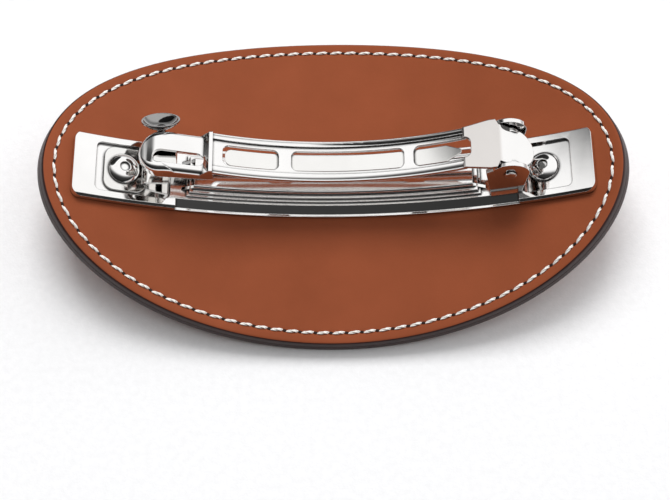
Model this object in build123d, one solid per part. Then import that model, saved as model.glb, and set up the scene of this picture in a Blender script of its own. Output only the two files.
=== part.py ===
from build123d import *
import os
from math import asin, atan2, cos, degrees, pi, radians, sin, sqrt

# Oval leather, two layers bent together about an axis across the barrette
leather_length = 100.0
leather_width = 57.4
leather_thickness = 1.6
layer_gap = 0.05
bend_radius = 102.0
oval_stations = 48

# Base plate, pressed from sheet, with its edges turned down to the leather
plate_length = 90.2
plate_width = 11.8
plate_sheet = 0.7
plate_corner = 1.6
plate_height = 1.5
plate_seat = 0.05
end_bevel = 0.4
middle_start = -27.4
middle_end = 32.0
middle_top = 8.4
lip_height = 0.55
lip_width = 0.4
ridge_length = 49.0
ridge_foot = 6.0
ridge_top = 5.4
ridge_height = 3.6
ridge_round = 0.45
steps = [
    {"length": 51.2, "width": 7.5, "height": 2.0},
    {"length": 50.4, "width": 6.6, "height": 2.6},
]
recess_width = 8.9
recess_corner = 1.0
recess_outer = 41.3
recess_left_inner = 28.4
recess_right_inner = 32.6

# Rivets through the plate and the back leather
rivet_place = 36.5
rivet_shank = 2.8
rivet_head = 5.2
rivet_head_height = 1.3
rivet_shoulder = 2.08
rivet_dimple = 1.7
rivet_dimple_depth = 0.45
rivet_flange = 6.0
rivet_flange_thickness = 0.4
rivet_clearance = 0.05

# Hinge at the right end
pin_x = 28.8
pin_height = 13.6
pin_diameter = 1.3
pin_head = 1.9
pin_head_thickness = 0.35
pin_fit = 0.05
ear_radius = 3.1
ear_sheet = 0.7
ear_span = 8.6
ear_foot_left = 26.6
ear_foot_right = 31.4
ear_shoulder = 24.8
ear_shoulder_height = 13.9

# Arm, pressed from sheet and bowed more than the plate
arm_sheet = 0.6
arm_width = 7.2
arm_bow = 54.0
arm_low_x = -0.5
arm_low_height = 10.4
arm_left_x = -20.4
arm_right_x = 21.4
rail_lip = 0.2
rail_crown = 1.1
rail_fall = 0.3
rail_inner_run = 0.15
rail_flange = 0.95
rail_groove_outer = 0.4
rail_groove_inner = 0.95
web_drop = 0.45
slot_width = 3.7
slot_corner = 1.1
slot_ends = [(-18.1, -9.0), (-7.0, 11.6), (13.1, 22.4)]

# Flared hinge plate at the arm's right end
fan_width = 8.6
fan_overlap = 0.3
fan_edge = 1.6
fan_bend_x = 26.9
fan_bend_height = 16.6
tail_width = 6.6
tail_end_x = 33.0
tail_end_height = 12.6
lug_radius = 1.7
lug_thickness = 0.6

# Rounded cap at the arm's left end
cap_end_x = -32.0
cap_valley_x = -21.4
cap_valley_height = 13.15
cap_round = 1.1
cap_crown_x = -28.0
cap_crown_height = 15.2
cap_nose_drop = 1.5
cap_brow = 2.4
cap_brow_drop = 0.45
cap_skirt = 2.4
cap_window_left = -29.5
cap_window_right = -21.3
cap_window_width = 2.3
cap_window_edge = 0.0

# Bow spring, a leaf under the arm's webs
bow_sheet = 0.4
bow_gap = 0.05
bow_width = 2.9
bow_left_x = -17.9
bow_corner = 1.1
bow_shoulder_x = 18.6
bow_tip_x = 21.0
bow_tip_width = 0.6

# Catch, a spring tongue under the left rivet with an upright leaf
catch_sheet = 0.5
catch_width = 4.6
catch_foot_left = -39.8
catch_foot_right = -32.6
catch_foot_width = 7.8
catch_foot_corner = 1.8
catch_rise_x = -27.4
catch_shelf_height = 7.2
catch_top_x = -26.2
catch_top_height = 12.7
catch_hook_x = -29.6
catch_hook_height = 13.4
catch_bend = 0.35
catch_seat = 0.1
leg_width = 2.0
leg_x = -28.6
leg_knee_y = 2.9
leg_knee_height = 9.45
latch_lip_height = 13.3
latch_lip_thickness = 0.5
latch_lip_width = 2.6
latch_gap = 0.3

# Dished finger button on the far leg of the catch
button_diameter = 6.4
button_depth = 1.1
button_wall = 0.5
button_rim = 0.25
button_dish_middle = 1.92
button_dish_depth = 0.825
button_stem = 1.5
button_stem_length = 2.8
button_y = 6.3
button_height = 13.4
button_tilt = 49.0
button_seat = 0.05

# Corner gussets at the ridge's ends
gusset_length = 2.4
gusset_thickness = 0.6

back_z = 2 * leather_thickness + layer_gap
axis_z = back_z + bend_radius
bend_axis = Axis((0, 0, axis_z), (0, -1, 0))


def turned(along):
    """Angle in degrees, about the bend axis, of a length along the leather's upper face."""
    return degrees(along / bend_radius)


def bent_profile(profile, start, end):
    """Revolve a face drawn in the plane X = 0 from start to end along the leather."""
    first = profile.rotate(bend_axis, turned(start))
    return revolve(first, bend_axis, turned(end - start))


def outline(points):
    """Face in the plane X = 0 from (across, height above the leather) points."""
    return make_face(Polyline(*[(0, y, back_z + h) for y, h in points], close=True))


def bent_block(start, end, width, low, high, corner=0.0):
    """Block that follows the bend, with rounded corners in plan."""
    half = width / 2
    face = outline([(-half, low), (half, low), (half, high), (-half, high)])
    block = bent_profile(face, start, end)
    if corner:
        upright = [
            e for e in block.edges().filter_by(GeomType.LINE) if abs((e % 0.5).Y) < 0.1
        ]
        block = fillet(upright, corner)
    return block


def on_curve(along, height):
    """Plane on the bent leather whose Z points away from the leather."""
    turn = along / bend_radius
    reach = bend_radius - height
    return Plane(
        origin=(reach * sin(turn), 0, axis_z - reach * cos(turn)),
        x_dir=(cos(turn), 0, sin(turn)),
        z_dir=(-sin(turn), 0, cos(turn)),
    )


def side_profile(points, width, y=0.0):
    """Extrude an outline of (x, height) points across the barrette."""
    wire = Polyline(*[(x, y - width / 2, back_z + h) for x, h in points], close=True)
    return extrude(make_face(wire), amount=width, dir=(0, 1, 0))


def sheet_strip(points, thickness):
    """Close an open line of (x, height) points with a copy set back by the sheet's thickness."""
    lower = []
    for i, (x, h) in enumerate(points):
        before = points[max(i - 1, 0)]
        after = points[min(i + 1, len(points) - 1)]
        run_in = atan2(h - before[1], x - before[0]) if i else None
        run_out = atan2(after[1] - h, after[0] - x) if i < len(points) - 1 else None
        if run_in is None:
            run_in = run_out
        if run_out is None:
            run_out = run_in
        half_turn = (run_out - run_in) / 2
        middle = run_in + half_turn
        reach = thickness / cos(half_turn)
        lower.append((x + reach * sin(middle), h - reach * cos(middle)))
    return points + lower[::-1]


def curve_point(along, height):
    """Place along X and height above the leather's lowest point, for a length on the bend."""
    turn = along / bend_radius
    reach = bend_radius - height
    return reach * sin(turn), bend_radius - reach * cos(turn)


def folded_sheet(line, thickness, width, y=0.0, bend=0.0, across=None):
    """Strip of sheet along an open line, with rounded bends.

    The line runs in (x, height), or in (y, height) at the place across when that is given.
    """
    closed = sheet_strip(line, thickness)
    if across is None:
        corners = [Vector(x, y - width / 2, back_z + h) for x, h in closed]
        way = (0, 1, 0)
    else:
        corners = [Vector(across - width / 2, x, back_z + h) for x, h in closed]
        way = (1, 0, 0)
    face = make_face(Polyline(*corners, close=True))
    if bend:
        inner = corners[1 : len(line) - 1] + corners[len(line) + 1 : -1]
        bends = [v for v in face.vertices() if min((Vector(v) - c).length for c in inner) < 1e-4]
        face = fillet(bends, bend)
    return extrude(face, amount=width, dir=way)


def drum_skin(depth):
    """Cylinder face about the bend axis, depth below the leather's upper face."""
    frame = Plane(origin=(0, 0, axis_z), x_dir=(0, 0, 1), z_dir=(0, 1, 0))
    drum = frame * Cylinder(bend_radius + depth, 2 * leather_width)
    return drum.faces().filter_by(GeomType.CYLINDER)[0]


def leather_layer(depth):
    """One oval layer whose upper face lies depth below the back face, with square-cut edges."""
    rim = []
    for i in range(oval_stations):
        turn = 2 * pi * i / oval_stations
        lean = leather_length / 2 * cos(turn) / bend_radius
        rim.append(((bend_radius + depth) * sin(lean), leather_width / 2 * sin(turn)))
    floor = -leather_thickness
    plan = make_face(Spline(*[(x, y, floor) for x, y in rim], periodic=True))
    column = extrude(plan, amount=axis_z - floor, dir=(0, 0, 1))
    oval = (drum_skin(depth) & column).faces()[0]
    return thicken(oval, leather_thickness, normal_override=Vector(0, 0, -1))


def standing_disc(along, diameter, low, high):
    """Round plug that stands on the bent leather, from low to high above its back face."""
    foot = (Align.CENTER, Align.CENTER, Align.MIN)
    return on_curve(along, low) * Cylinder(diameter / 2, high - low, align=foot)


def make_leather_back():
    layer = leather_layer(0)
    pocket_top = rivet_flange_thickness + 2 * rivet_clearance - leather_thickness
    for along in (-rivet_place, rivet_place):
        bore = rivet_shank + 2 * rivet_clearance
        pocket = rivet_flange + 2 * rivet_clearance
        layer -= standing_disc(along, bore, -2 * leather_thickness, leather_thickness)
        layer -= standing_disc(along, pocket, -2 * leather_thickness, pocket_top)
    return layer


def make_leather_front():
    return leather_layer(leather_thickness + layer_gap)


def end_shell(inset):
    """Plate body with narrow bevelled rims, drawn in by the sheet for its hollow underside."""
    half = plate_width / 2 - inset
    low = plate_seat - inset
    top = plate_height - inset
    shelf = half - end_bevel
    rim = top - end_bevel
    face = outline(
        [(-half, low), (half, low), (half, rim), (shelf, top), (-shelf, top), (-half, rim)]
    )
    reach = plate_length / 2 - inset
    body = bent_profile(face, -reach, reach)
    return body & bent_block(-reach, reach, 2 * half, low, top, plate_corner - inset)


def middle_cut():
    """Space above the plate's sloping sides and flat lips, between its two ends."""
    slope_top = middle_top / 2
    slope_foot = plate_width / 2 - lip_width
    space = []
    for side in (-1, 1):
        points = [
            (slope_top, plate_height),
            (slope_foot, lip_height),
            (plate_width, lip_height),
            (plate_width, ridge_height),
            (slope_top, ridge_height),
        ]
        face = outline([(side * y, h) for y, h in points])
        space.append(bent_profile(face, middle_start, middle_end))
    return space


def middle_hollow():
    """Underside of the sloping middle, a sheet's thickness below its top and sides."""
    slope_top = middle_top / 2
    fall = plate_height - lip_height
    run = plate_width / 2 - lip_width - slope_top
    drop = plate_sheet * sqrt(run**2 + fall**2) / run
    steep = fall / run
    low = plate_seat - plate_sheet
    foot = slope_top + (plate_height - drop - low) / steep
    head = slope_top - (drop - plate_sheet) / steep
    high = plate_height - plate_sheet
    face = outline([(-foot, low), (foot, low), (head, high), (-head, high)])
    return bent_profile(face, middle_start - plate_sheet, middle_end + plate_sheet)


def end_hollow():
    """Underside of the two flat ends."""
    hollow = end_shell(plate_sheet)
    keep = bent_block(
        middle_start - plate_sheet, middle_end + plate_sheet, 2 * plate_width, -plate_height, ridge_height
    )
    return hollow - keep


def pressed_rib(length, foot, head, top, inset, rounding=0.0):
    """Raised block along the plate with leaning sides and rounded upper edges."""
    reach = length / 2 - inset
    foot_half = foot / 2 - inset
    head_half = head / 2 - inset
    low = plate_seat - inset
    knee = plate_height
    high = top - inset
    face = outline(
        [(-foot_half, low), (foot_half, low), (foot_half, knee), (head_half, high)]
        + [(-head_half, high), (-foot_half, knee)]
    )
    if rounding:
        corners = [v for v in face.vertices() if abs(v.Z - back_z - high) < 1e-4]
        face = fillet(corners, rounding)
    return bent_profile(face, -reach, reach)


def recess(side_start, side_end, inset):
    """Pressed recess: with an inset it is the walls' block, without one the space above the floor."""
    low = plate_seat if inset else plate_seat + plate_sheet
    high = plate_height if inset else ridge_height
    start = side_start - inset
    end = side_end + inset
    return bent_block(start, end, recess_width + 2 * inset, low, high, recess_corner)


def ear(side):
    """Round-topped hinge ear bent up from the plate."""
    face_y = side * (ear_span - ear_sheet) / 2
    foot_turn = asin(ear_foot_right / bend_radius)
    foot = bend_radius * (1 - cos(foot_turn)) + plate_seat
    blade = side_profile(
        [
            (ear_foot_left, foot),
            (ear_foot_right, foot),
            (pin_x + ear_radius, pin_height),
            (pin_x, pin_height + ear_radius),
            (ear_shoulder, ear_shoulder_height),
        ],
        ear_sheet,
        face_y,
    )
    crown = Plane(origin=(pin_x, face_y, back_z + pin_height), z_dir=(0, 1, 0)) * Cylinder(
        ear_radius, ear_sheet
    )
    return blade + crown


def pin_bore(diameter, length):
    frame = Plane(origin=(pin_x, 0, back_z + pin_height), z_dir=(0, 1, 0))
    return frame * Cylinder(diameter / 2, length)


def make_base_plate():
    recesses = [(-recess_outer, -recess_left_inner), (recess_right_inner, recess_outer)]
    plate = end_shell(0)
    for space in middle_cut():
        plate -= space
    for step in steps:
        plate += pressed_rib(step["length"], step["width"], step["width"], step["height"], 0)
    plate += pressed_rib(ridge_length, ridge_foot, ridge_top, ridge_height, 0, ridge_round)
    plate -= end_hollow()
    plate -= middle_hollow()
    for step in steps:
        plate -= pressed_rib(step["length"], step["width"], step["width"], step["height"], plate_sheet)
    plate -= pressed_rib(ridge_length, ridge_foot, ridge_top, ridge_height, plate_sheet)
    for start, end in recesses:
        plate += recess(start, end, plate_sheet)
        plate -= recess(start, end, 0)
    plate += ear(-1)
    plate += ear(1)
    for end in (-1, 1):
        start = end * (ridge_length / 2 - plate_sheet / 2)
        foot = end * (ridge_length / 2 + gusset_length)
        wedge = [
            curve_point(start, plate_height - plate_sheet / 2),
            curve_point(foot, plate_height - plate_sheet / 2),
            curve_point(start, ridge_height - plate_sheet / 2),
        ]
        for side in (-1, 1):
            y = side * (ridge_top - gusset_thickness) / 2
            plate += side_profile(wedge, gusset_thickness, y)
    plate -= pin_bore(pin_diameter + 2 * pin_fit, 2 * ear_span)
    for along in (-rivet_place, rivet_place):
        plate -= standing_disc(along, rivet_shank + 2 * rivet_clearance, -1, plate_height)
    return plate


def make_rivet(along, seat):
    """Domed head with a dimple, shank through plate and leather, flange under the leather."""
    head = rivet_head / 2
    shank = rivet_shank / 2
    top = seat + rivet_head_height
    flange_low = rivet_clearance - leather_thickness
    flange_high = flange_low + rivet_flange_thickness
    flange = rivet_flange / 2
    dimple = rivet_dimple / 2
    bottom = top - rivet_dimple_depth
    profile = Polyline((dimple, 0, bottom), (0, 0, bottom), (0, 0, flange_low), (flange, 0, flange_low))
    profile += Polyline(
        (flange, 0, flange_low), (flange, 0, flange_high), (shank, 0, flange_high), (shank, 0, seat)
    )
    profile += Polyline((shank, 0, seat), (head, 0, seat), (head, 0, seat + plate_sheet / 2))
    profile += ThreePointArc(
        (head, 0, seat + plate_sheet / 2), (rivet_shoulder, 0, top - plate_sheet / 2), (dimple, 0, top)
    )
    profile += Line((dimple, 0, top), (dimple, 0, bottom))
    body = revolve(make_face(profile), Axis.Z)
    return on_curve(along, 0) * body


def make_hinge_pin():
    length = ear_span + 2 * pin_fit
    pin = pin_bore(pin_diameter, length)
    for side in (-1, 1):
        place = Plane(
            origin=(pin_x, side * length / 2, back_z + pin_height), z_dir=(0, side, 0)
        )
        cap = Cylinder(
            pin_head / 2, pin_head_thickness, align=(Align.CENTER, Align.CENTER, Align.MIN)
        )
        pin += place * fillet(cap.edges().sort_by(Axis.Z)[-1], pin_head_thickness / 2)
    return pin


def arm_height(x):
    """Height of the arm's rails above the leather at a place along the barrette."""
    return arm_low_height + arm_bow - sqrt(arm_bow**2 - (x - arm_low_x) ** 2)


def arm_sector(face, start_x, end_x):
    """Revolve a face drawn in the plane X = arm_low_x about the arm's own bow axis."""
    axis = Axis((arm_low_x, 0, back_z + arm_low_height + arm_bow), (0, -1, 0))
    start = degrees(asin((start_x - arm_low_x) / arm_bow))
    end = degrees(asin((end_x - arm_low_x) / arm_bow))
    return revolve(face.rotate(axis, start), axis, end - start)


def arm_face(points):
    top = back_z + arm_low_height
    return make_face(Polyline(*[(arm_low_x, y, top + h) for y, h in points], close=True))


def rail_face(side):
    """Section of one rail: a flat lip, a bead that rises in an arc and its steep inner side."""
    top = back_z + arm_low_height
    inner = rail_crown + rail_inner_run

    def at(inset, height):
        return (arm_low_x, side * (arm_width / 2 - inset), top + height)

    sides = Polyline(
        at(rail_crown, 0),
        at(inner, -web_drop),
        at(inner, -rail_flange),
        at(0, -rail_flange),
        at(0, -rail_fall),
        at(rail_lip, -rail_fall),
    )
    bead = TangentArc(at(rail_crown, 0), at(rail_lip, -rail_fall), tangent=(0, side, 0))
    return make_face(Curve() + [sides, bead])


def make_rails():
    """Two beaded rails joined by a lower web, with three slots through the web."""
    half = arm_width / 2
    web_half = half - rail_crown
    web_low = -web_drop - arm_sheet
    web_face = arm_face(
        [(-web_half, web_low), (web_half, web_low), (web_half, -web_drop), (-web_half, -web_drop)]
    )
    web = arm_sector(web_face, arm_left_x, arm_right_x)
    slot = slot_width / 2
    below = 2 * web_low
    for start_x, end_x in slot_ends:
        tall = arm_face([(-slot, below), (slot, below), (slot, arm_sheet), (-slot, arm_sheet)])
        gap = arm_sector(tall, start_x, min(end_x, arm_right_x + 1))
        upright = [e for e in gap.edges().filter_by(GeomType.LINE) if abs((e % 0.5).Y) < 0.1]
        web -= fillet(upright, slot_corner)
    bar = web
    for side in (-1, 1):
        rail = arm_sector(rail_face(side), arm_left_x, arm_right_x)
        outer = side * (half - rail_groove_outer)
        inner = side * (half - rail_groove_inner)
        groove = arm_face([(outer, below), (inner, below), (inner, -arm_sheet), (outer, -arm_sheet)])
        bar += rail - arm_sector(groove, arm_left_x - 1, arm_right_x)
    return bar


def make_hinge_end():
    """Flared plate past the rails, bent down over the pin, with two lugs round the pin."""
    line = [
        (arm_right_x - fan_overlap, arm_height(arm_right_x - fan_overlap)),
        (arm_right_x, arm_height(arm_right_x)),
        (fan_bend_x, fan_bend_height),
        (tail_end_x, tail_end_height),
    ]
    sheet = side_profile(sheet_strip(line, arm_sheet), fan_width)
    half = arm_width / 2
    fan = fan_width / 2
    tail = tail_width / 2
    narrowing = (fan - tail) / 2
    nose = tail_end_x - tail
    left = line[0][0]
    upper = Polyline(
        (left, half, 0),
        (arm_right_x, half, 0),
        (fan_bend_x - fan_edge, fan, 0),
        (fan_bend_x - narrowing, fan, 0),
        (fan_bend_x, tail, 0),
        (nose, tail, 0),
    )
    round_end = ThreePointArc((nose, tail, 0), (tail_end_x, 0, 0), (nose, -tail, 0))
    lower = mirror(upper, Plane.XZ)
    back = Line((left, -half, 0), (left, half, 0))
    plan = make_face(Curve() + [upper, round_end, lower, back])
    sheet &= extrude(plan, amount=4 * pin_height, dir=(0, 0, 1))
    slot_start, slot_end = slot_ends[-1]
    slot = RectangleRounded(slot_end - slot_start, slot_width, slot_corner)
    sheet -= Pos((slot_start + slot_end) / 2, 0, 0) * extrude(slot, amount=4 * pin_height)
    slope = atan2(fan_bend_height - tail_end_height, tail_end_x - fan_bend_x)
    for side in (-1, 1):
        y = side * (tail_width / 2 - lug_thickness / 2)
        frame = Plane(origin=(pin_x, y, back_z + pin_height), z_dir=(0, 1, 0))
        lug = frame * Cylinder(lug_radius, lug_thickness)
        reach = lug_radius
        top = fan_bend_height - (pin_x - fan_bend_x) * sin(slope) / cos(slope) - arm_sheet / 2
        drop = reach * sin(slope) / cos(slope)
        lug += side_profile(
            [
                (pin_x - reach, pin_height),
                (pin_x + reach, pin_height),
                (pin_x + reach, top - drop),
                (pin_x - reach, top + drop),
            ],
            lug_thickness,
            y,
        )
        sheet += lug
    return sheet - pin_bore(pin_diameter + 2 * pin_fit, 2 * ear_span)


def cap_body(inset):
    """Rounded cap: its plan with a half-round end, under a sloping top with a dropping nose."""
    half = arm_width / 2 - inset
    left = cap_end_x + inset
    centre = left + half
    right = arm_left_x + arm_sheet
    plan = make_face(
        Curve()
        + [
            Line((right, -half, 0), (right, half, 0)),
            Line((right, half, 0), (centre, half, 0)),
            ThreePointArc((centre, half, 0), (left, 0, 0), (centre, -half, 0)),
            Line((centre, -half, 0), (right, -half, 0)),
        ]
    )
    column = extrude(plan, amount=4 * cap_crown_height, dir=(0, 0, 1))
    top = cap_crown_height - inset
    valley = cap_valley_height - inset
    shoulder = arm_height(arm_left_x) - inset
    below = cap_skirt if inset else 0
    low_left = top - cap_skirt - below
    low_right = valley - cap_skirt - below
    nose = top - cap_nose_drop
    crown_mid = (cap_crown_x - cap_brow + 0.6 * inset, top - cap_brow_drop)
    y = -arm_width
    z = back_z
    side = make_face(
        Curve()
        + [
            ThreePointArc(
                (left, y, z + nose), (crown_mid[0], y, z + crown_mid[1]), (cap_crown_x, y, z + top)
            ),
            Polyline(
                (cap_crown_x, y, z + top),
                (cap_valley_x, y, z + valley),
                (arm_left_x, y, z + shoulder),
                (right, y, z + shoulder),
                (right, y, z + low_right),
                (left, y, z + low_left),
                (left, y, z + nose),
            ),
        ]
    )
    return column & extrude(side, amount=2 * arm_width, dir=(0, 1, 0))


def rounded_cap():
    """The cap with its long upper edges rounded, from the nose to the valley."""
    cap = cap_body(0)
    rim = []
    for edge in cap.edges():
        middle = edge @ 0.5
        way = edge % 0.5
        if middle.X < cap_valley_x and middle.Z > back_z + cap_valley_height:
            if max(abs(way.Y), abs(way.Z)) < 0.9:
                rim.append(edge)
    return fillet(rim, cap_round)


def make_cap():
    cap = rounded_cap()
    cap -= cap_body(arm_sheet)
    window_y = cap_window_edge - cap_window_width / 2
    length = cap_window_right - cap_window_left
    window = Pos((cap_window_left + cap_window_right) / 2, window_y, back_z) * extrude(
        SlotOverall(length, cap_window_width), amount=4 * cap_crown_height
    )
    cap -= Pos(0, 0, cap_valley_height - cap_skirt) * window
    lip_right = catch_hook_x - latch_gap
    lip_left = cap_end_x + arm_sheet / 2
    lip = [
        (lip_left, latch_lip_height - latch_lip_thickness),
        (lip_right, latch_lip_height - latch_lip_thickness),
        (lip_right, latch_lip_height),
        (lip_left, latch_lip_height),
    ]
    return cap + side_profile(lip, latch_lip_width)


def make_arm():
    return make_rails() + make_hinge_end() + make_cap()


def make_bow_spring():
    """Leaf that follows the arm under its webs, round at the catch end and pointed at the hinge."""
    half = bow_width / 2
    tip = bow_tip_width / 2
    high = -web_drop - arm_sheet - bow_gap
    low = high - bow_sheet
    leaf = arm_sector(
        arm_face([(-half, low), (half, low), (half, high), (-half, high)]), bow_left_x - 1, bow_tip_x + 1
    )
    plan = make_face(
        Polyline(
            (bow_left_x, -half),
            (bow_shoulder_x, -half),
            (bow_tip_x, -tip),
            (bow_tip_x, tip),
            (bow_shoulder_x, half),
            (bow_left_x, half),
            close=True,
        )
    )
    plan = fillet(plan.vertices().sort_by(Axis.X)[:2], bow_corner)
    return leaf & extrude(plan, amount=axis_z)


def make_catch_spring():
    """Tongue under the rivet head, raised shelf, upright leaf with a hook, and a far leg."""
    top = plate_seat + plate_sheet + catch_seat + catch_sheet
    run = rivet_head / 2 + rivet_clearance + catch_sheet
    rivet_x, rivet_height = curve_point(-rivet_place, top)
    fall = run * sin(rivet_place / bend_radius)
    reach = run * cos(rivet_place / bend_radius)
    line = [
        (rivet_x - reach, rivet_height + fall),
        (rivet_x + reach, rivet_height - fall),
        (rivet_x + reach + 2 * catch_sheet, catch_shelf_height),
        (catch_rise_x, catch_shelf_height),
        (catch_top_x, catch_top_height),
        (catch_hook_x, catch_hook_height),
    ]
    spring = folded_sheet(line, catch_sheet, catch_width, bend=catch_bend)
    tilt = radians(button_tilt)
    back = button_stem_length + button_seat
    edge = catch_width / 2 - catch_sheet
    leg_line = [
        (edge, catch_shelf_height),
        (leg_knee_y - catch_bend, catch_shelf_height),
        (leg_knee_y, leg_knee_height),
        (button_y - back * cos(tilt), button_height - back * sin(tilt)),
    ]
    spring += folded_sheet(leg_line, catch_sheet, leg_width, bend=catch_bend, across=leg_x)
    spring += bent_block(
        catch_foot_left, catch_foot_right, catch_foot_width, top - catch_sheet, top, catch_foot_corner
    )
    bore = rivet_shank + 2 * rivet_clearance
    return spring - standing_disc(-rivet_place, bore, 0, ridge_height)


def make_catch_button():
    """Trumpet-shaped finger dish on a round stem."""
    rim = button_diameter / 2
    stem = button_stem / 2
    base = -button_stem_length
    throat = -button_depth - button_wall
    profile = Curve() + [
        Polyline((0, 0, -button_depth), (0, 0, base), (stem, 0, base), (stem, 0, throat)),
        ThreePointArc(
            (stem, 0, throat),
            ((stem + rim) / 2, 0, (throat - button_rim) / 2 - button_wall / 2),
            (rim, 0, -button_rim),
        ),
        Polyline((rim, 0, -button_rim), (rim, 0, 0), (rim - button_rim, 0, 0)),
        ThreePointArc(
            (rim - button_rim, 0, 0), (button_dish_middle, 0, -button_dish_depth), (stem, 0, -button_depth)
        ),
        Line((stem, 0, -button_depth), (0, 0, -button_depth)),
    ]
    tilt = radians(button_tilt)
    place = Plane(
        origin=(leg_x, button_y, back_z + button_height), z_dir=(0, cos(tilt), sin(tilt))
    )
    return place * revolve(make_face(profile), Axis.Z)


floor_top = plate_seat + plate_sheet
parts = {
    "leather_back": make_leather_back(),
    "leather_front": make_leather_front(),
    "base_plate": make_base_plate(),
    "rivet_left": make_rivet(-rivet_place, floor_top + catch_seat + catch_sheet + rivet_clearance),
    "rivet_right": make_rivet(rivet_place, floor_top + rivet_clearance),
    "hinge_pin": make_hinge_pin(),
    "arm": make_arm(),
    "bow_spring": make_bow_spring(),
    "catch_spring": make_catch_spring(),
    "catch_button": make_catch_button(),
}
os.makedirs("parts", exist_ok=True)
for name, shape in parts.items():
    export_step(shape, f"parts/{name}.step")
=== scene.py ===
from math import atan2, cos, hypot, pi, radians, sin

import bpy
from mathutils import Matrix, Vector


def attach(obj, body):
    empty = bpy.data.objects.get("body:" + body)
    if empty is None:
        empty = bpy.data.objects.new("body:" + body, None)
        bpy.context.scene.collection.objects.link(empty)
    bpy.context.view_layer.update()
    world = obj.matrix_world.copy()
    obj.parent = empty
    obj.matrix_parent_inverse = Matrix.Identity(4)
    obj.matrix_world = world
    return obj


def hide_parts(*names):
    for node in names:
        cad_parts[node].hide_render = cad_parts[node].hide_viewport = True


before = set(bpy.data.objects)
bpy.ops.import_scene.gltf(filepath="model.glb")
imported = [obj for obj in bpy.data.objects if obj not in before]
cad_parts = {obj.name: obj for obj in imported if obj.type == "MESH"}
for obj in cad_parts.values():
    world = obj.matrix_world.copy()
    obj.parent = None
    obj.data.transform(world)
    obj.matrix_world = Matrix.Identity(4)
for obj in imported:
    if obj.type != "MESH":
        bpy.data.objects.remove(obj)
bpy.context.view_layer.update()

mm = 0.001

# Sizes that the solids share
leather_length = 100.0 * mm
leather_width = 57.4 * mm
leather_thickness = 1.6 * mm
layer_gap = 0.05 * mm
bend_radius = 102.0 * mm
back_z = 2 * leather_thickness + layer_gap
rivet_place = 36.5 * mm
rivet_shank = 2.9 * mm
rivet_flange = 6.1 * mm
flange_pocket = 0.5 * mm

# Leather surface
rim_vertices = 256
inner_rings = 24
paint_line = 0.3 * mm
bore_sides = 48
pores_per_metre = 2200
noise_rough = 0.55

# Polish and broken edges of the pressed metal, painted shade in its creases, and a painted darker shade on
# the plate between the arm's rails and its fold
edge_round = 0.12 * mm
edge_samples = 8
crease_shade_reach = 0.5 * mm
crease_shade_samples = 8
hinge_fold_start = 21.3 * mm
hinge_fold_end = 26.9 * mm
# Painted shade: the tone that darkens the arm's plate between its rails and its fold, and its fade
painted_shade_tone = (0.78, 0.755, 0.74, 1)
painted_shade_fade = 0.01
polish_smoothest = 0.03
polish_roughest = 0.09

# Painted pool of light on the floor: an oval, white in its middle, that fades at its rim to a painted grey
# shade outside
light_pool_middle = -11 * mm
light_pool_reach_x = 220 * mm
light_pool_reach_y = 112 * mm
light_pool_rim = 0.5
light_pool_outside = 0.4

# Saddle stitching
stitch_count = 93
stitch_inset = 2.0 * mm
stitch_length = 2.3 * mm
stitch_arch = 1.5 * mm
ply_radius = 0.14 * mm
ply_offset = 0.12 * mm
stitch_slant = radians(7)
back_stitch_height = 0.1 * mm
front_stitch_height = -0.27 * mm
hole_radius = 0.3 * mm
hole_shape = (1.2, 0.8, 0.25)
hole_segments = 12
hole_rings = 6
front_hole_height = -0.3 * mm
back_groove = 0.1
front_groove = 0.32
ply_sides = 8
stitch_lengths = 10
stitch_twist = radians(300)
stitch_smooth = 60


def clear_selection():
    bpy.ops.object.select_all(action="DESELECT")


def pick(obj):
    clear_selection()
    obj.select_set(True)
    bpy.context.view_layer.objects.active = obj


def edit(obj, mode):
    pick(obj)
    bpy.ops.object.mode_set(mode="EDIT")
    bpy.ops.mesh.select_mode(type=mode)


def leave_edit():
    bpy.ops.object.mode_set(mode="OBJECT")


def added(name):
    """The primitive just added, under its own name."""
    obj = bpy.context.object
    obj.name = name
    obj.data.name = name
    return obj


def apply_modifier(obj, kind, **settings):
    pick(obj)
    modifier = obj.modifiers.new(kind.title(), kind)
    for key, value in settings.items():
        setattr(modifier, key, value)
    bpy.ops.object.modifier_apply(modifier=modifier.name)


def smooth(obj, angle=35):
    pick(obj)
    bpy.ops.object.shade_smooth_by_angle(angle=radians(angle))


def settle(obj):
    """Put the object's place, turn and size into its mesh."""
    pick(obj)
    bpy.ops.object.transform_apply(location=True, rotation=True, scale=True)


def turn_mesh(obj, axis, angle):
    obj.rotation_euler[axis] = angle
    settle(obj)


def lift_mesh(obj, height):
    obj.location.z = height
    settle(obj)


def bend(obj, radius):
    """Bend a flat piece in X and Z. Its plane Z = 0 keeps its length. A positive radius lifts the ends."""
    across = [v.co.x for v in obj.data.vertices]
    reach = max(across) - min(across)
    turn_mesh(obj, 0, -pi / 2)
    apply_modifier(
        obj,
        "SIMPLE_DEFORM",
        deform_method="BEND",
        deform_axis="Z",
        angle=reach / radius,
    )
    turn_mesh(obj, 0, pi / 2)


def join(objects, name):
    clear_selection()
    for obj in objects:
        obj.select_set(True)
    bpy.context.view_layer.objects.active = objects[0]
    bpy.ops.object.join()
    return added(name)


def finish_piece(obj, finish, *nodes, slot=None, body="clip_base"):
    """Give a piece its material, its body and the nodes that it stands for."""
    if not obj.data.materials:
        obj.data.materials.append(finishes[finish])
    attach(obj, body)
    if nodes:
        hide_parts(*nodes)


def node_tree(name):
    material = bpy.data.materials.new(name)
    material.use_nodes = True
    tree = material.node_tree
    return material, tree, tree.nodes["Principled BSDF"]


def grey(value):
    return (value, value, value, 1)


def object_place(tree):
    return tree.nodes.new("ShaderNodeTexCoord").outputs["Object"]


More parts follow.
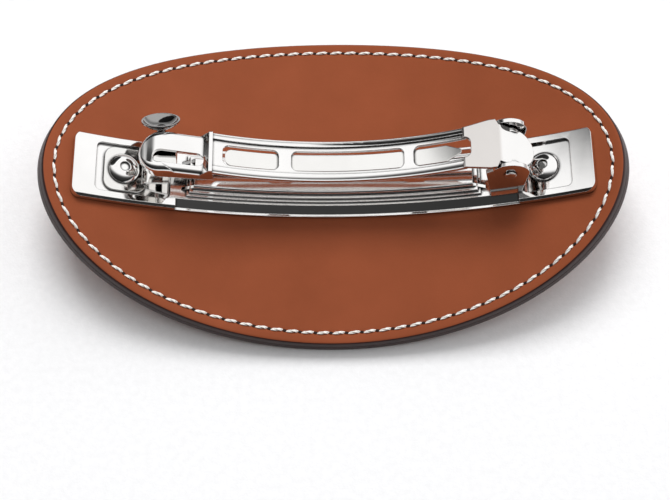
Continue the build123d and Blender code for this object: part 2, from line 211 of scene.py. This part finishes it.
def noise(tree, scale, detail):
    """Noise on object coordinates, scale in features per metre."""
    texture = tree.nodes.new("ShaderNodeTexNoise")
    texture.inputs["Scale"].default_value = scale
    texture.inputs["Detail"].default_value = detail
    texture.inputs["Roughness"].default_value = noise_rough
    tree.links.new(object_place(tree), texture.inputs["Vector"])
    return texture.outputs["Fac"]


def blend(tree, first, second, operation="MULTIPLY"):
    node = tree.nodes.new("ShaderNodeVectorMath")
    node.operation = operation
    tree.links.new(first, node.inputs[0])
    tree.links.new(second, node.inputs[1])
    return node.outputs["Vector"]


def ramp(tree, value, stops):
    """Colour ramp through (position, colour) stops."""
    node = tree.nodes.new("ShaderNodeValToRGB")
    band = node.color_ramp
    band.elements[0].position, band.elements[0].color = stops[0]
    band.elements[1].position, band.elements[1].color = stops[-1]
    for position, colour in stops[1:-1]:
        band.elements.new(position).color = colour
    tree.links.new(value, node.inputs["Fac"])
    return node.outputs["Color"]


def bump(tree, shader, height, strength, distance, below=None):
    node = tree.nodes.new("ShaderNodeBump")
    node.inputs["Strength"].default_value = strength
    node.inputs["Distance"].default_value = distance
    tree.links.new(height, node.inputs["Height"])
    if below:
        tree.links.new(below.outputs["Normal"], node.inputs["Normal"])
    tree.links.new(node.outputs["Normal"], shader.inputs["Normal"])
    return node


def tan_leather():
    material, tree, shader = node_tree("tan_leather")
    colour = ramp(
        tree,
        noise(tree, 60, 5),
        [(0.3, (0.228, 0.057, 0.022, 1)), (0.7, (0.275, 0.07, 0.028, 1))],
    )
    tree.links.new(colour, shader.inputs["Base Color"])
    cells = tree.nodes.new("ShaderNodeTexVoronoi")
    cells.inputs["Scale"].default_value = pores_per_metre
    tree.links.new(object_place(tree), cells.inputs["Vector"])
    pores = bump(tree, shader, cells.outputs["Distance"], 0.25, 0.00003)
    bump(tree, shader, noise(tree, 900, 6), 0.25, 0.00005, pores)
    shader.inputs["Roughness"].default_value = 0.55
    shader.inputs["Specular IOR Level"].default_value = 0.12
    return material


def painted_edge():
    material, tree, shader = node_tree("painted_edge")
    colour = ramp(
        tree,
        noise(tree, 400, 4),
        [(0.3, (0.022, 0.007, 0.006, 1)), (0.7, (0.04, 0.012, 0.010, 1))],
    )
    tree.links.new(colour, shader.inputs["Base Color"])
    bump(tree, shader, noise(tree, 700, 4), 0.2, 0.00004)
    shader.inputs["Roughness"].default_value = 0.45
    shader.inputs["Specular IOR Level"].default_value = 0.3
    return material


def painted_shade_band(tree, colour, painted_shade_span):
    """The colour, darker between two places along X: a painted shade."""
    half_length = leather_length / 2
    along = tree.nodes.new("ShaderNodeSeparateXYZ")
    tree.links.new(object_place(tree), along.inputs["Vector"])
    spread = tree.nodes.new("ShaderNodeMapRange")
    spread.inputs["From Max"].default_value = half_length
    tree.links.new(along.outputs["X"], spread.inputs["Value"])
    start, end = (edge / half_length for edge in painted_shade_span)
    bands = [
        (start - painted_shade_fade, grey(1)),
        (start, painted_shade_tone),
        (end, painted_shade_tone),
        (end + painted_shade_fade, grey(1)),
    ]
    return blend(tree, colour, ramp(tree, spread.outputs["Result"], bands))


def bright_metal(name, dark, pale, painted_shade_span=None):
    """Polished plating between two tones, with painted shade in its creases, broken edges, and a painted
    darker shade along X where a span is given.
    """
    material, tree, shader = node_tree(name)
    shader.inputs["Metallic"].default_value = 1.0
    colour = ramp(tree, noise(tree, 90, 3), [(0.3, dark), (0.7, pale)])
    if painted_shade_span:
        colour = painted_shade_band(tree, colour, painted_shade_span)
    # Painted shade: ambient occlusion darkens the colour in creases, recesses and under other parts
    crease_shade = tree.nodes.new("ShaderNodeAmbientOcclusion")
    crease_shade.samples = crease_shade_samples
    crease_shade.inputs["Distance"].default_value = crease_shade_reach
    shade = ramp(tree, crease_shade.outputs["AO"], [(0.5, grey(0.03)), (0.8, grey(0.6)), (0.93, grey(1))])
    tree.links.new(blend(tree, colour, shade), shader.inputs["Base Color"])
    rough = tree.nodes.new("ShaderNodeMapRange")
    rough.inputs["To Min"].default_value = polish_smoothest
    rough.inputs["To Max"].default_value = polish_roughest
    tree.links.new(noise(tree, 350, 5), rough.inputs["Value"])
    tree.links.new(rough.outputs["Result"], shader.inputs["Roughness"])
    edges = tree.nodes.new("ShaderNodeBevel")
    edges.samples = edge_samples
    edges.inputs["Radius"].default_value = edge_round
    bump(tree, shader, noise(tree, 260, 3), 0.05, 0.00003, edges)
    return material


def waxed_thread():
    material, tree, shader = node_tree("waxed_thread")
    colour = ramp(
        tree,
        noise(tree, 2500, 3),
        [(0.3, (0.8, 0.77, 0.72, 1)), (0.7, (0.95, 0.93, 0.9, 1))],
    )
    tree.links.new(colour, shader.inputs["Base Color"])
    bump(tree, shader, noise(tree, 5000, 3), 0.4, 0.00004)
    shader.inputs["Roughness"].default_value = 0.6
    return material


# Near-black colour for the ellipsoids between the stitches: a painted shade for the insides of the stitch
# holes
def stitch_hole_shade():
    material, tree, shader = node_tree("stitch_hole_shade")
    colour = ramp(
        tree,
        noise(tree, 3000, 2),
        [(0.3, (0.012, 0.005, 0.004, 1)), (0.7, (0.03, 0.012, 0.009, 1))],
    )
    tree.links.new(colour, shader.inputs["Base Color"])
    shader.inputs["Roughness"].default_value = 0.8
    return material


def pale_floor():
    material, tree, shader = node_tree("pale_floor")
    colour = ramp(
        tree,
        noise(tree, 900, 3),
        [(0.3, (0.86, 0.86, 0.87, 1)), (0.7, (0.9, 0.9, 0.91, 1))],
    )
    # Painted pool of light: the floor's colour is white in an oval round the clip and falls to a painted
    # grey shade outside it
    light_pool = tree.nodes.new("ShaderNodeMapping")
    light_pool.vector_type = "TEXTURE"
    light_pool.inputs["Location"].default_value = (0, light_pool_middle, 0)
    light_pool.inputs["Scale"].default_value = (light_pool_reach_x, light_pool_reach_y, 1)
    fall = tree.nodes.new("ShaderNodeTexGradient")
    fall.gradient_type = "SPHERICAL"
    tree.links.new(object_place(tree), light_pool.inputs["Vector"])
    tree.links.new(light_pool.outputs["Vector"], fall.inputs["Vector"])
    lit = ramp(tree, fall.outputs["Fac"], [(0.0, grey(light_pool_outside)), (light_pool_rim, grey(1))])
    tree.links.new(blend(tree, colour, lit), shader.inputs["Base Color"])
    bump(tree, shader, noise(tree, 2500, 3), 0.3, 0.0001)
    shader.inputs["Roughness"].default_value = 0.75
    return material


finishes = {
    "leather": tan_leather(),
    "edge": painted_edge(),
    "metal": bright_metal("bright_plating", (0.86, 0.85, 0.84, 1), (0.92, 0.91, 0.9, 1)),
    # The arm's plate between its rails and its fold is darkened by a painted shade
    "arm": bright_metal(
        "arm_plating", (0.86, 0.85, 0.84, 1), (0.92, 0.91, 0.9, 1), (hinge_fold_start, hinge_fold_end)
    ),
    # The button's tones are darker than the other plating: a painted shade for the dark reflection in its
    # dish
    "button": bright_metal("button_painted_shade_plating", (0.3, 0.295, 0.29, 1), (0.38, 0.375, 0.37, 1)),
    "spring": bright_metal("spring_steel", (0.80, 0.79, 0.77, 1), (0.87, 0.86, 0.84, 1)),
    "thread": waxed_thread(),
    "hole": stitch_hole_shade(),
    "floor": pale_floor(),
}


def rim_rows(groove):
    """Rows across a layer's rim: inset from its outline and height from its finished face, in metres."""
    rows = [
        {"inset": 3.2, "height": 0.0},
        {"inset": 2.7, "height": 0.0},
        {"inset": 2.45, "height": -0.25 * groove},
        {"inset": 2.2, "height": -groove},
        {"inset": 1.8, "height": -groove},
        {"inset": 1.55, "height": -0.25 * groove},
        {"inset": 1.3, "height": 0.0},
        {"inset": 0.6, "height": 0.0},
        {"inset": 0.4, "height": -0.03},
        {"inset": 0.22, "height": -0.1},
        {"inset": 0.09, "height": -0.22},
        {"inset": 0.02, "height": -0.4},
        {"inset": 0.0, "height": -0.7},
        {"inset": 0.0, "height": -1.55},
        {"inset": 0.05, "height": -1.6},
    ]
    return [(row["inset"] * mm, row["height"] * mm) for row in rows]


def oval_layer(name, groove):
    """Flat layer, its finished face at Z = 0: rings from the middle, round the rim and back under."""
    half_x = leather_length / 2
    half_y = leather_width / 2
    rim = rim_rows(groove)
    flat_x = half_x - rim[0][0]
    flat_y = half_y - rim[0][0]
    rings = []
    for step in range(1, inner_rings):
        share = step / inner_rings
        rings.append((flat_x * share, flat_y * share, 0.0))
    for inset, height in rim:
        rings.append((half_x - inset, half_y - inset, height))
    for step in range(inner_rings - 1, 0, -1):
        share = step / inner_rings
        rings.append((flat_x * share, flat_y * share, -leather_thickness))

    clear_selection()
    bpy.ops.mesh.primitive_circle_add(vertices=rim_vertices, radius=1, fill_type="NOTHING")
    layer = added(name)
    edit(layer, "EDGE")
    bpy.ops.mesh.select_all(action="SELECT")
    wide, deep, level = rings[0]
    bpy.ops.transform.resize(value=(wide, deep, 1), center_override=(0, 0, 0))
    bpy.ops.transform.translate(value=(0, 0, level))
    for wider, deeper, lower in rings[1:]:
        bpy.ops.mesh.extrude_edges_move()
        bpy.ops.transform.resize(value=(wider / wide, deeper / deep, 1), center_override=(0, 0, 0))
        bpy.ops.transform.translate(value=(0, 0, lower - level))
        wide, deep, level = wider, deeper, lower
    bpy.ops.mesh.select_all(action="DESELECT")
    bpy.ops.mesh.select_non_manifold()
    bpy.ops.mesh.fill_holes(sides=0)
    bpy.ops.mesh.select_all(action="SELECT")
    bpy.ops.mesh.normals_make_consistent(inside=False)
    leave_edit()
    return layer


def paint_rim(layer):
    """Painted material on the faces outside the finished face's rounded corner."""
    layer.data.materials.append(finishes["leather"])
    layer.data.materials.append(finishes["edge"])
    for face in layer.data.polygons:
        x, y = face.center.x, face.center.y
        reach = hypot(x / (leather_length / 2 - paint_line), y / (leather_width / 2 - paint_line))
        if reach > 1:
            face.material_index = 1


def bore(layer, along, diameter, low, high):
    """Cut a round hole through a flat layer, from low to high."""
    clear_selection()
    bpy.ops.mesh.primitive_cylinder_add(
        vertices=bore_sides,
        radius=diameter / 2,
        depth=high - low,
        location=(along, 0, (low + high) / 2),
    )
    cutter = added("cutter")
    settle(cutter)
    apply_modifier(layer, "BOOLEAN", operation="DIFFERENCE", object=cutter, solver="EXACT")
    bpy.data.objects.remove(cutter)


def make_leathers():
    back = oval_layer("back_leather", back_groove)
    paint_rim(back)
    for along in (-rivet_place, rivet_place):
        bore(back, along, rivet_shank, -2 * leather_thickness, leather_thickness)
        bore(back, along, rivet_flange, -2 * leather_thickness, flange_pocket - leather_thickness)
    bend(back, bend_radius)
    lift_mesh(back, back_z)
    smooth(back)
    finish_piece(back, "leather", "leather_back", slot="leather")

    front = oval_layer("front_leather", front_groove)
    paint_rim(front)
    turn_mesh(front, 0, pi)
    lift_mesh(front, -back_z)
    bend(front, bend_radius)
    lift_mesh(front, back_z)
    smooth(front)
    finish_piece(front, "leather", "leather_front", slot="leather")


def oval_places(count, inset, offset=0.0):
    """Places at an equal pitch on the stitch line: x, y and the line's heading."""
    half_x = leather_length / 2 - inset
    half_y = leather_width / 2 - inset
    fine = 7200
    walked = [0.0]
    for step in range(fine):
        turn = 2 * pi * (step + 0.5) / fine
        walked.append(walked[-1] + hypot(half_x * sin(turn), half_y * cos(turn)) * 2 * pi / fine)
    places = []
    step = 0
    for index in range(count):
        goal = (index + offset) / count * walked[-1]
        while walked[step + 1] < goal:
            step += 1
        turn = 2 * pi * step / fine
        heading = atan2(half_y * cos(turn), -half_x * sin(turn))
        places.append((half_x * cos(turn), half_y * sin(turn), heading))
    return places


def stitch():
    """One saddle stitch: three twisted plies, arched so that its ends dip into the leather."""
    clear_selection()
    bpy.ops.mesh.primitive_circle_add(vertices=ply_sides, radius=ply_radius, fill_type="NGON")
    thread = added("stitch")
    edit(thread, "FACE")
    bpy.ops.mesh.select_all(action="SELECT")
    for step in range(stitch_lengths):
        bpy.ops.mesh.extrude_region_move(
            TRANSFORM_OT_translate={"value": (0, 0, stitch_length / stitch_lengths)}
        )
    bpy.ops.mesh.select_all(action="SELECT")
    bpy.ops.transform.translate(value=(ply_offset, 0, -stitch_length / 2))
    bpy.ops.transform.rotate(value=pi / 2, orient_axis="Y", center_override=(0, 0, 0))
    for copy in range(2):
        bpy.ops.mesh.duplicate()
        bpy.ops.transform.rotate(value=2 * pi / 3, orient_axis="X", center_override=(0, 0, 0))
    bpy.ops.mesh.select_all(action="SELECT")
    bpy.ops.mesh.normals_make_consistent(inside=False)
    leave_edit()
    apply_modifier(
        thread, "SIMPLE_DEFORM", deform_method="TWIST", deform_axis="X", angle=stitch_twist
    )
    bend(thread, -stitch_arch)
    return thread


def copy_along(model, places, height, slant, name):
    """Copies of a small piece at places on the flat leather, joined."""
    copies = []
    for x, y, heading in places:
        twin = model.copy()
        twin.data = model.data.copy()
        bpy.context.collection.objects.link(twin)
        twin.location = (x, y, height)
        twin.rotation_euler.z = heading + slant
        copies.append(twin)
    bpy.data.objects.remove(model)
    joined = join(copies, name)
    settle(joined)
    return joined


def make_stitching():
    rows = [
        {"side": "back", "height": back_stitch_height, "slant": stitch_slant, "hole": 0.0},
        {
            "side": "front",
            "height": front_stitch_height,
            "slant": -stitch_slant,
            "hole": front_hole_height,
        },
    ]
    for row in rows:
        thread = copy_along(
            stitch(),
            oval_places(stitch_count, stitch_inset),
            row["height"],
            row["slant"],
            row["side"] + "_stitching",
        )
        # Dark flattened ellipsoids at the gaps between stitches, a painted shade for the stitch holes
        clear_selection()
        bpy.ops.mesh.primitive_uv_sphere_add(
            segments=hole_segments, ring_count=hole_rings, radius=hole_radius
        )
        hole = added("hole")
        hole.scale = hole_shape
        settle(hole)
        holes = copy_along(
            hole,
            oval_places(stitch_count, stitch_inset, 0.5),
            row["hole"],
            0,
            row["side"] + "_stitch_holes",
        )
        for piece, finish in ((thread, "thread"), (holes, "hole")):
            if row["side"] == "front":
                turn_mesh(piece, 0, pi)
                lift_mesh(piece, -back_z)
            bend(piece, bend_radius)
            lift_mesh(piece, back_z)
            smooth(piece, stitch_smooth)
            finish_piece(piece, finish)


def dress_solids():
    """The finish of each solid's own material slots."""
    for name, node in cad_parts.items():
        kind = name.split("_")[-1]
        finish = kind if kind in ("spring", "arm", "button") else "metal"
        if name.startswith("leather"):
            finish = "leather"
        for place in node.material_slots:
            place.material = finishes[finish]


def main_camera():
    """The photograph's view: distance, height over the surface and turn of a long lens."""
    elevation = radians(67.6)
    azimuth = radians(-0.54)
    distance = 226.7 * mm
    aim = Vector((0.14, -11.82, 3.25)) * mm
    focal_px = 1333
    width_px = 670
    back = Vector(
        (sin(azimuth) * cos(elevation), -cos(azimuth) * cos(elevation), sin(elevation))
    )
    right = Vector((cos(azimuth), sin(azimuth), 0))
    up = back.cross(right)
    data = bpy.data.cameras.new("view")
    data.sensor_width = 36
    data.lens = 36 * focal_px / width_px
    data.clip_start = 0.01
    data.clip_end = 20
    camera = bpy.data.objects.new("view", data)
    turn = Matrix((right, up, back)).transposed().to_4x4()
    camera.matrix_world = Matrix.Translation(aim + back * distance) @ turn
    bpy.context.scene.collection.objects.link(camera)
    bpy.context.scene.camera = camera


def area_light(name, place, aim, size, power):
    """A box of light that the metal doesn't mirror."""
    data = bpy.data.lights.new(name, "AREA")
    data.shape = "RECTANGLE"
    data.size, data.size_y = size
    data.energy = power
    light = bpy.data.objects.new(name, data)
    light.location = place
    light.rotation_euler = (Vector(aim) - Vector(place)).to_track_quat("-Z", "Y").to_euler()
    light.visible_glossy = False
    bpy.context.scene.collection.objects.link(light)


# The studio's tones, by the share of a direction that points along each axis
tent_axis = (0.25, 0.74, 0.62)
foot_axis = (0.2, 0, 1)
card_turn = radians(-28)
card_lift = radians(24)
sky_strength = 1.1
lamp_place = (-0.05, 0.45, 0.7)
lamp_size = (0.5, 0.35)
lamp_power = 5.0
floor_size = 6
tent_slope = [
    {"toward": -1.0, "tone": 0.02},
    {"toward": -0.3, "tone": 0.03},
    {"toward": -0.12, "tone": 0.04},
    {"toward": 0.0, "tone": 0.08},
    {"toward": 0.15, "tone": 0.2},
    {"toward": 0.35, "tone": 0.8},
    {"toward": 0.5, "tone": 1.0},
]
tent_foot = [
    {"toward": 0.0, "tone": 0.25},
    {"toward": 0.1, "tone": 0.45},
    {"toward": 0.25, "tone": 0.75},
    {"toward": 0.4, "tone": 1.0},
]
card_reach = [
    {"toward": 0.865, "tone": 1.0},
    {"toward": 0.89, "tone": 0.03},
    {"toward": 1.0, "tone": 0.02},
]
card_foot = [
    {"toward": 0.1, "tone": 1.0},
    {"toward": 0.15, "tone": 0.0},
]


def studio():
    """White tent, dark towards the viewer, with a dark card low down behind the clip."""
    bpy.context.scene.view_settings.view_transform = "Standard"
    world = bpy.data.worlds.new("studio")
    bpy.context.scene.world = world
    world.use_nodes = True
    tree = world.node_tree
    way = tree.nodes.new("ShaderNodeTexCoord").outputs["Generated"]

    def tone(axis, stops):
        toward = tree.nodes.new("ShaderNodeVectorMath")
        toward.operation = "DOT_PRODUCT"
        toward.inputs[1].default_value = axis
        tree.links.new(way, toward.inputs[0])
        spread = tree.nodes.new("ShaderNodeMapRange")
        spread.inputs["From Min"].default_value = -1
        tree.links.new(toward.outputs["Value"], spread.inputs["Value"])
        bands = [((stop["toward"] + 1) / 2, grey(stop["tone"])) for stop in stops]
        return ramp(tree, spread.outputs["Result"], bands)

    card_axis = (
        sin(card_turn) * cos(card_lift),
        cos(card_turn) * cos(card_lift),
        sin(card_lift),
    )
    card = blend(tree, tone(card_axis, card_reach), tone((0, 0, 1), card_foot), "MAXIMUM")
    tent = blend(tree, tone(tent_axis, tent_slope), tone(foot_axis, tent_foot))
    sky = blend(tree, tent, card)
    tree.links.new(sky, tree.nodes["Background"].inputs["Color"])
    tree.nodes["Background"].inputs["Strength"].default_value = sky_strength
    area_light("top_box", lamp_place, (0, 0, 0), lamp_size, lamp_power)

    clear_selection()
    bpy.ops.mesh.primitive_plane_add(size=floor_size)
    floor = added("floor")
    floor.data.materials.append(finishes["floor"])


main_camera()
studio()
make_leathers()
make_stitching()
dress_solids()
